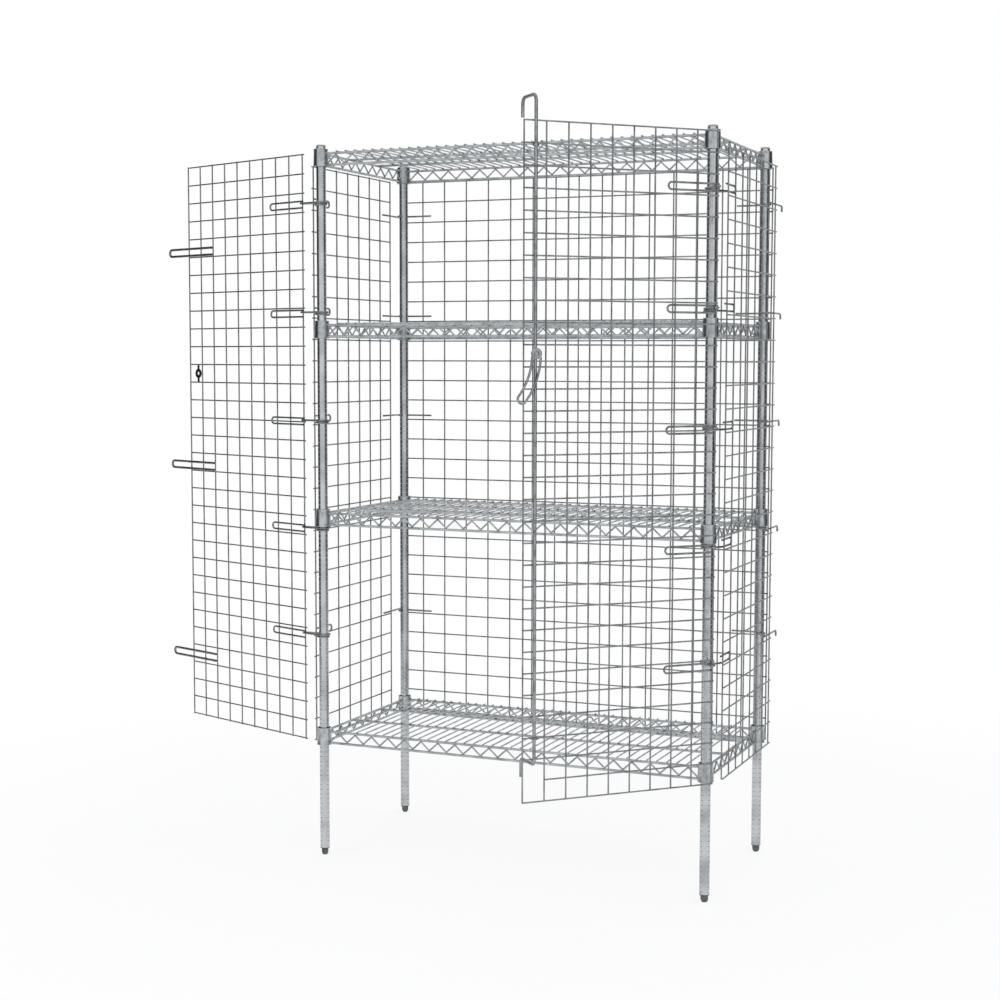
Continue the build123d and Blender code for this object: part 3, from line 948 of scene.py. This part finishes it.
# %% Hooks, tails and hairpins
hook_wire = 5.0 * mm
hook_foot = 595.5 * mm
hook_rise = 284.0 * mm
hook_levels = 5
hook_gap = 0.3 * mm
hairpin_width = 17.0 * mm
hairpin_length = 128.0 * mm
hairpin_tail = 6.0 * mm
hook_reach = 98.0 * mm
tail_start, tail_reach, tail_drop = 73.5 * mm, 66.5 * mm, 15.0 * mm
back_inset = 78.7 * mm
post_gap, door_gap = 0.75 * mm, 0.9 * mm
side_offset, back_offset = 34.0 * mm, 20.0 * mm
wrap_radius = tube_radius + post_gap + hook_wire / 2
wrap_lead = wrap_radius * 1.6
loop_radius = hairpin_width / 2
bend_radius = 7.0 * mm
end_steps, wrap_steps = 12, 18


def hooks(route, name, nodes, place=None, closed=False):
    """One bent shape at all five levels, finished as a piece."""
    shape = bent([route], hook_wire, bend_radius, mesh_plate, hook_levels, hook_rise, closed)
    return finish(name, [shape], nodes, place)


def hairpin_route(x_open, x_bend, y, z, width, drop=0.0):
    """A flat U: two level legs and a round closed end. The lower leg is shorter by drop."""
    toward = 1 if x_bend > x_open else -1
    radius = width / 2
    centre = x_bend - toward * radius
    bend = arc((0, 0), radius, 90, -90, end_steps)
    closed_end = [(centre + toward * u, y, z + v) for u, v in bend]
    return [(x_open, y, z + radius), *closed_end, (x_open + toward * drop, y, z - radius)]


hook_plane = side_offset - mesh_wire / 2 - hook_wire / 2
hook_low = hook_foot - hook_wire - hook_gap
loop_centre = (hook_reach - loop_radius, hook_low + loop_radius)
flat_loop = [(hook_plane, y, z) for y, z in arc(loop_centre, loop_radius, 90, -90, end_steps)]
wrap = [(x, y, hook_low) for x, y in arc((0, 0), wrap_radius, 0, -180, wrap_steps)]
for side, name in ((-1, "left"), (1, "right")):
    panel_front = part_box(f"side_panel_{name}")[0][1] + mesh_wire / 2
    route = [
        (hook_plane, half_y + panel_front - mesh_wire, hook_low + hairpin_width), *flat_loop,
        (hook_plane, wrap_lead, hook_low), *wrap,
    ]
    route = [(side * (half_x + x), y - half_y, z) for x, y, z in route]
    hooks(route, f"{name}_side_hooks", [f"side_hooks_{name}"])
    x = side * (half_x + hook_plane)
    tail = [(x, half_y - tail_start, hook_foot), (x, half_y + tail_reach, hook_foot)]
    tail.append((x, half_y + tail_reach, hook_foot - tail_drop))
    hooks(tail, f"{name}_side_tails", [f"side_tails_{name}"])

back_hooks = []
back_plane = back_offset - mesh_wire / 2 - hook_wire / 2
for side in (-1, 1):
    route = [(-back_inset, back_plane), *arc((0, 0), wrap_radius, 90, -90, wrap_steps)]
    route = [(side * (half_x + x), half_y + y, hook_foot) for x, y in route]
    back_hooks.append(bent([route], hook_wire, bend_radius, mesh_plate, hook_levels, hook_rise))
finish("rear_post_hooks", back_hooks, ["back_hooks"])

hairpin_z = hook_foot + (hook_wire + hook_gap - loop_radius)
for name, front, place in (("left", -1, left_door), ("right", 1, right_door)):
    plane = -front * (mesh_wire / 2 + hook_wire / 2)
    route = hairpin_route(
        -hairpin_tail, hairpin_length, plane, hairpin_z, hairpin_width, hairpin_tail / 2
    )
    hooks(route, f"{name}_door_hairpins", [f"door_{name}_hairpins"], place)
print("hooks:", triangles["left_side_hooks"], "tails:", triangles["left_side_tails"], "triangles")

# %% [markdown]
# The rings are closed links of the same wire, round the post at one end and round
# the door's edge wire at the other. Two arcs and the straight runs between them
# make the outline, which is the path that a belt takes round two pulleys.

# %% Rings between posts and doors
ring_big = wrap_radius
ring_small = mesh_wire / 2 + door_gap + hook_wire / 2
ring_steps = 22
lean = acos((ring_big - ring_small) / ring_reach) * 180 / pi
ring_route = arc((ring_reach, 0), ring_small, -lean, lean, end_steps)
ring_route += arc((0, 0), ring_big, lean, 360 - lean, ring_steps)
ring_route = [(x, y, hook_foot) for x, y in ring_route]
for name in ("left", "right"):
    hooks(ring_route, f"{name}_rings", [f"links_{name}"], rings[name], closed=True)
print("ring radii:", round(ring_big / mm, 2), "and", round(ring_small / mm, 2), "mm")

# %% [markdown]
# The left door carries three long loops that reach behind the right door when both
# are shut, and a round eye for a padlock, welded over two rows. The eye is a flat
# pressing: a curve with an inner outline makes its hole, and a small bevel its
# rounded rim.

# %% Loops and padlock eye
loop_wire = 6.0 * mm
loop_width = 19.0 * mm
loop_out, loop_in = 84.0 * mm, 110.0 * mm
loop_heights = [483.0 * mm, 1024.0 * mm, 1623.0 * mm]
loop_plane = mesh_wire / 2 + loop_wire / 2
loop_routes = [
    hairpin_route(door_width - loop_in, door_width + loop_out, loop_plane, z, loop_width)
    for z in loop_heights
]
loops = bent(loop_routes, loop_wire * same_area, 0.0, mesh_plate)
finish("left_door_loops", [loops], ["door_left_loops"], left_door)

eye_radius, eye_hole = 13.0 * mm, 5.0 * mm
eye_strap = 3.0 * mm
eye_thickness, eye_bevel = 3.4 * mm, 0.5 * mm
eye_steps, hole_sides = 24, 48
eye_row = 19
eye_reach = door_row / 2 + mesh_wire / 2
corner_angle = acos(eye_strap / eye_radius) * 180 / pi
outline = [(eye_strap, eye_reach)]
outline += arc((0, 0), eye_radius, corner_angle, -corner_angle, eye_steps)
outline += [(eye_strap, -eye_reach)]
outline += [(-x, -y) for x, y in outline]
hole = arc((0, 0), eye_hole, 0, 360 - 360 / hole_sides, hole_sides - 1)
eye_curve = paths(*[[(x, y, 0) for x, y in loop] for loop in (outline, hole)], closed=True)
eye_curve.dimensions = "2D"
eye_curve.fill_mode = "BOTH"
eye_curve.extrude = eye_thickness / 2 - eye_bevel
eye_curve.bevel_depth = eye_bevel
eye_curve.bevel_resolution = 2
eye_curve.offset = -eye_bevel
eye_source = bpy.data.objects.new("eye", eye_curve)
graph = bpy.context.evaluated_depsgraph_get()
eye_mesh = bpy.data.meshes.new_from_object(eye_source.evaluated_get(graph))
bpy.data.objects.remove(eye_source)
eye_mesh.materials.append(eye_plate)
row_face = 1.5 * mesh_wire
eye_x = door_width - door_width / door_columns / 2
eye_z = door_foot + (eye_row + 0.5) * door_row
eye_place = Matrix.Translation((eye_x, -row_face - eye_thickness / 2, eye_z))
eye_turn = Matrix.Rotation(pi / 2, 4, "X")
finish("padlock_eye", [eye_mesh], ["lock_lug"], left_door @ (eye_place @ eye_turn))
print("padlock eye", round(eye_z / mm), "mm above the floor")

# %% [markdown]
# The doors are locked by one round bar on the right door. Each end is bent twice,
# to a hook that goes behind the edge of the top or bottom shelf when the bar
# drops. Four staples hold it to the mesh, and a ring on it stops against the top
# staple when it is down.

# %% Locking bar, staples and stop ring
bar = 8.0 * mm
bar_inset = 25.0 * mm
bar_gap = 0.5 * mm
bar_reach = 75.5 * mm
bar_travel = 40.0 * mm
bar_tip = 48.0 * mm
head_bend, foot_bend, bend_steps = 16.0 * mm, 10.0 * mm, 8
head_rise, foot_gap = 62.0 * mm, 6.0 * mm
staple_wire, staple_bend = 4.0 * mm, 4.0 * mm
staple_gap = 1.2 * mm
staple_rows = (3, 13, 22, 29)
stop_radius, stop_height = 7.5 * mm, 5.5 * mm
stop_bite, seat_gap = 0.05 * mm, 0.2 * mm
rim_edge = 0.6 * mm
bar_depth = row_face + bar_gap + bar / 2
bar_x = door_width - bar_inset
foot_run = door_foot + foot_hook_cell * door_row - mesh_wire / 2 - foot_gap - bar / 2
head_run = door_head + head_rise - bar / 2
tip_depth = bar_depth - bar_reach
bar_low, bar_high = foot_run + bar / 2 - bar_tip, head_run + bar / 2
bar_route = [
    (tip_depth, bar_low),
    *arc((tip_depth + foot_bend, foot_run - foot_bend), foot_bend, 180, 90, bend_steps),
    *arc((bar_depth - foot_bend, foot_run + foot_bend), foot_bend, -90, 0, bend_steps),
    *arc((bar_depth - head_bend, head_run - head_bend), head_bend, 0, 90, bend_steps),
    *arc((tip_depth + head_bend, head_run - head_bend), head_bend, 90, 180, bend_steps),
    (tip_depth, bar_high - bar_tip),
]
bar_mesh = bent([[(bar_x, y, z) for y, z in bar_route]], bar, 0.0, lock_plate)
finish("locking_bar", [bar_mesh], ["locking_rod"], right_door)

across = bar / 2 / cos(pi / 6) + staple_gap + staple_wire / 2
staple_foot = row_face - staple_wire / 4
staple_out = bar_depth + bar / 2 + bar_gap + staple_wire / 2
staples = []
for row in staple_rows:
    z = door_foot + row * door_row
    staples.append([
        (bar_x - across, staple_foot, z), (bar_x - across, staple_out, z),
        (bar_x + across, staple_out, z), (bar_x + across, staple_foot, z),
    ])
staple_mesh = bent(staples, staple_wire, staple_bend, mesh_plate)
finish("bar_staples", [staple_mesh], ["rod_guides"], right_door)

stop_profile = [
    (bar / 2 - stop_bite, 0), (stop_radius - rim_edge, 0), (stop_radius, rim_edge),
    (stop_radius, stop_height - rim_edge), (stop_radius - rim_edge, stop_height),
    (bar / 2 - stop_bite, stop_height),
]
stop_z = door_foot + staple_rows[-1] * door_row + staple_wire / 2 + bar_travel + seat_gap
stop = spun(stop_profile)
stop.materials.append(lock_plate)
stop_place = right_door @ Matrix.Translation((bar_x, bar_depth, stop_z))
finish("bar_stop_ring", [stop], ["rod_stop"], stop_place)
print("bar from", round(bar_low / mm), "to", round(bar_high / mm), "mm")

# %% [markdown]
# A wire handle turns on a riveted pin at chest height. Its hub is a thick washer,
# and the grip is one long hairpin of wire that hangs to one side. Its two strands
# are arcs about one centre, so that it leaves the hub straight down and curls away
# to the side. It swings up to the padlock eye when the doors are shut.

# %% Handle and its pin
handle_row = 20.6
handle_wire = 5.0 * mm
handle_width, handle_length = 21.0 * mm, 118.0 * mm
hub_radius, hub_height = 13.0 * mm, 5.0 * mm
pin_radius, bore_gap, face_gap = 3.0 * mm, 0.1 * mm, 0.3 * mm
pin_head, pin_head_height, pin_sides = 5.5 * mm, 2.5 * mm, 24
pin_crown = ((1.0, 0.5 * mm), (0.87, 1.5 * mm), (0.5, 2.3 * mm))
handle_slant = radians(21)
grip_start = hub_radius * 0.55
grip_steps, tip_steps = 12, 10
handle_z = door_foot + handle_row * door_row
bar_face = bar_depth + bar / 2
hub_face = bar_face + face_gap
outward = Matrix.Rotation(-pi / 2, 4, "X")
hub_profile = [
    (pin_radius + bore_gap, 0), (hub_radius - rim_edge, 0), (hub_radius, rim_edge),
    (hub_radius, hub_height - rim_edge), (hub_radius - rim_edge, hub_height),
    (pin_radius + bore_gap, hub_height),
]
hub = spun(hub_profile)
hub.transform(Matrix.Translation((0, hub_face, 0)) @ outward)
hub.materials.append(lock_plate)
curl = handle_length / 2 / sin(handle_slant)
curl_centre = (curl * sin(handle_slant), curl * cos(handle_slant))
first = degrees(grip_start / curl - handle_slant) - 90
last = degrees(handle_slant - handle_width / 2 / curl) - 90
tip_centre = arc(curl_centre, curl, last, last, 1)[0]
grip_route = arc(curl_centre, curl + handle_width / 2, first, last, grip_steps)
grip_route += arc(tip_centre, handle_width / 2, last, last + 180, tip_steps)[1:-1]
grip_route += arc(curl_centre, curl - handle_width / 2, last, first, grip_steps)
grip_depth = hub_face + hub_height / 2
grip_path = [(x, grip_depth, z) for x, z in grip_route]
grip = bent([grip_path], handle_wire * same_area, 0.0, lock_plate)
grip.transform(Matrix.Rotation(pi / 2 - handle_slant, 4, "Y"))
handle_place = right_door @ Matrix.Translation((bar_x, 0, handle_z))
finish("wire_handle", [hub, grip], ["lock_handle"], handle_place)

head_face = hub_face + hub_height + face_gap
pin_profile = [
    (0, bar_face), (pin_radius, bar_face), (pin_radius, head_face), (pin_head, head_face),
    *[(pin_head * share, head_face + rise) for share, rise in pin_crown],
    (0, head_face + pin_head_height),
]
pin = spun(pin_profile, pin_sides)
pin.transform(outward)
pin.materials.append(lock_plate)
finish("handle_rivet", [pin], ["handle_pin"], handle_place)
print("handle pivot", round(handle_z / mm), "mm above the floor")

# %% [markdown]
# The setting is a plain white sweep. The floor is pale and keeps the shadow: where
# the camera sees it, most of its light is a plain white of strength 1. Within a
# metre of the cage's middle that share is 0.85, and it rises to all of the light
# at 2.6 m, so that the floor meets the white background without a line.

# %% Floor and surroundings
floor_size = 30.0
white_near, near, far = 0.85, 1.0, 2.6
white = (1, 1, 1, 1)


def sheet(name, corners, material):
    """A mesh of one face with four corners."""
    mesh = bpy.data.meshes.new(name)
    mesh.from_pydata(corners, [], [(0, 1, 2, 3)])
    mesh.materials.append(material)
    return mesh


def seen_directly(tree):
    """1 for a ray from the camera, a mirror or glass, and 0 for light that falls on things."""
    rays = add_node(tree, "ShaderNodeLightPath").outputs
    seen = rays["Is Camera Ray"]
    for ray in ("Is Glossy Ray", "Is Transmission Ray"):
        seen = add_node(tree, "ShaderNodeMath", {0: seen, 1: rays[ray]}, operation="MAXIMUM")
    return seen


paper, tree, shader, place = new_material("white_studio_paper")
shader.inputs["Roughness"].default_value = 0.9
shader.inputs["Specular IOR Level"].default_value = 0.1
fibre = add_node(tree, "ShaderNodeTexNoise", {"Vector": place, "Scale": 40.0, "Detail": 3.0})
tone = add_node(
    tree, "ShaderNodeMix", {0: fibre, 6: linear("#eeeeee"), 7: linear("#f4f4f4")},
    data_type="RGBA",
)
tree.links.new(tone.outputs[2], shader.inputs["Base Color"])
white_light = add_node(tree, "ShaderNodeEmission", {"Color": white, "Strength": 1.0})
flat = add_node(tree, "ShaderNodeVectorMath", {0: place, 1: (1, 1, 0)}, operation="MULTIPLY")
away = add_node(tree, "ShaderNodeVectorMath", {0: flat}, operation="LENGTH")
fade = add_node(
    tree, "ShaderNodeMapRange",
    {"Value": away.outputs["Value"], "From Min": near, "From Max": far, "To Min": white_near,
     "To Max": 1.0},
    interpolation_type="SMOOTHSTEP",
)
share = add_node(
    tree, "ShaderNodeMath", {0: seen_directly(tree), 1: fade}, operation="MULTIPLY"
)
blend = add_node(tree, "ShaderNodeMixShader", {0: share, 1: shader, 2: white_light})
tree.links.new(blend.outputs[0], tree.nodes["Material Output"].inputs["Surface"])
ends = ((-1, -1), (1, -1), (1, 1), (-1, 1))
floor_corners = [(x * floor_size, y * floor_size, 0) for x, y in ends]
floor = in_scene("floor", sheet("floor", floor_corners, paper))

world = bpy.data.worlds.new("white_room")
bpy.context.scene.world = world
world.use_nodes = True
tree = world.node_tree
room = add_node(
    tree, "ShaderNodeMix", {0: seen_directly(tree), 6: linear("#c9cbcd"), 7: white},
    data_type="RGBA",
)
background = tree.nodes["Background"]
background.inputs["Strength"].default_value = 1.0
tree.links.new(room.outputs[2], background.inputs["Color"])
print("floor and surroundings are white to the camera")

# %% [markdown]
# Bright metal only shows its form by what it mirrors, and in an all-white room it
# would vanish. Two tall dark flags therefore stand at the cage's sides, out of the
# camera's sight. They darken both edges of every wire and tube and leave a light
# middle, as in a studio where only the front is lit.

# %% Dark flags that shape the metal
flag_away, flag_width, flag_height = 3.4, 4.8, 4.2


def flag(name, heading):
    """A tall flag that faces the cage from a heading and that only reflections see."""
    material = bpy.data.materials.new(name)
    material.use_nodes = True
    shader = material.node_tree.nodes["Principled BSDF"]
    shader.inputs["Base Color"].default_value = linear("#4c4e50")
    shader.inputs["Roughness"].default_value = 1.0
    half = flag_width / 2
    corners = [
        (flag_away, -half, 0), (flag_away, half, 0),
        (flag_away, half, flag_height), (flag_away, -half, flag_height),
    ]
    mesh = sheet(name, corners, material)
    mesh.transform(Matrix.Rotation(heading, 4, "Z"))
    piece = in_scene(name, mesh)
    piece.visible_camera = False
    piece.visible_shadow = False
    piece.visible_diffuse = False


flag("left_flag", radians(-163))
flag("right_flag", radians(27))
print("two flags stand", flag_away, "m from the cage")

# %% [markdown]
# Three large square lamps light the cage softly: a key from the front left, a
# weaker fill from the front right and one from above. Metal doesn't mirror them,
# so no wire burns out.

# %% Lamps
def soft_lamp(name, place, aim, size, power):
    """A large square lamp that looks at a point. Sizes in metres, power in watts."""
    lamp = bpy.data.lights.new(name, "AREA")
    lamp.shape = "SQUARE"
    lamp.size = size
    lamp.energy = power
    piece = in_scene(name, lamp)
    piece.visible_glossy = False
    piece.location = place
    toward = Vector(aim) - Vector(place)
    piece.rotation_euler = toward.to_track_quat("-Z", "Y").to_euler()


soft_lamp("key_lamp", (-2.6, -3.4, 3.6), (0, 0, 1.0), 3.4, 70.0)
soft_lamp("fill_lamp", (3.4, -2.6, 2.8), (0, 0, 1.0), 3.0, 40.0)
soft_lamp("top_lamp", (0.4, 0.8, 4.6), (0, 0, 0.8), 3.4, 60.0)
print("three lamps light the cage")

# %% [markdown]
# The camera stands where the photograph was taken: to the right of the middle, a
# little above half height, looking down by less than 5 degrees. Its place and lens
# were solved from the posts' feet, heads and collars.

# %% Camera
camera_place = Vector((1.731, -4.354, 1.329))
camera_yaw, camera_pitch, camera_roll = 0.4025, -0.0801, 0.0019
lens, sensor = 63.76, 36.0
camera_data = bpy.data.cameras.new("camera")
camera_data.lens = lens
camera_data.sensor_width = sensor
camera_data.sensor_fit = "HORIZONTAL"
camera = in_scene("camera", camera_data)
turn = Matrix.Rotation(camera_yaw, 4, "Z") @ Matrix.Rotation(pi / 2 + camera_pitch, 4, "X")
camera.matrix_world = Matrix.Translation(camera_place) @ turn @ Matrix.Rotation(camera_roll, 4, "Z")
bpy.context.scene.camera = camera
bpy.context.scene.view_settings.view_transform = "Standard"
print("lens", lens, "mm,", round((camera_place.xy).length, 2), "m from the cage")

# %% [markdown]
# Last, the pieces and their triangles are counted.

# %% Count the pieces
print("pieces:", len(triangles), "triangles:", sum(triangles.values()))
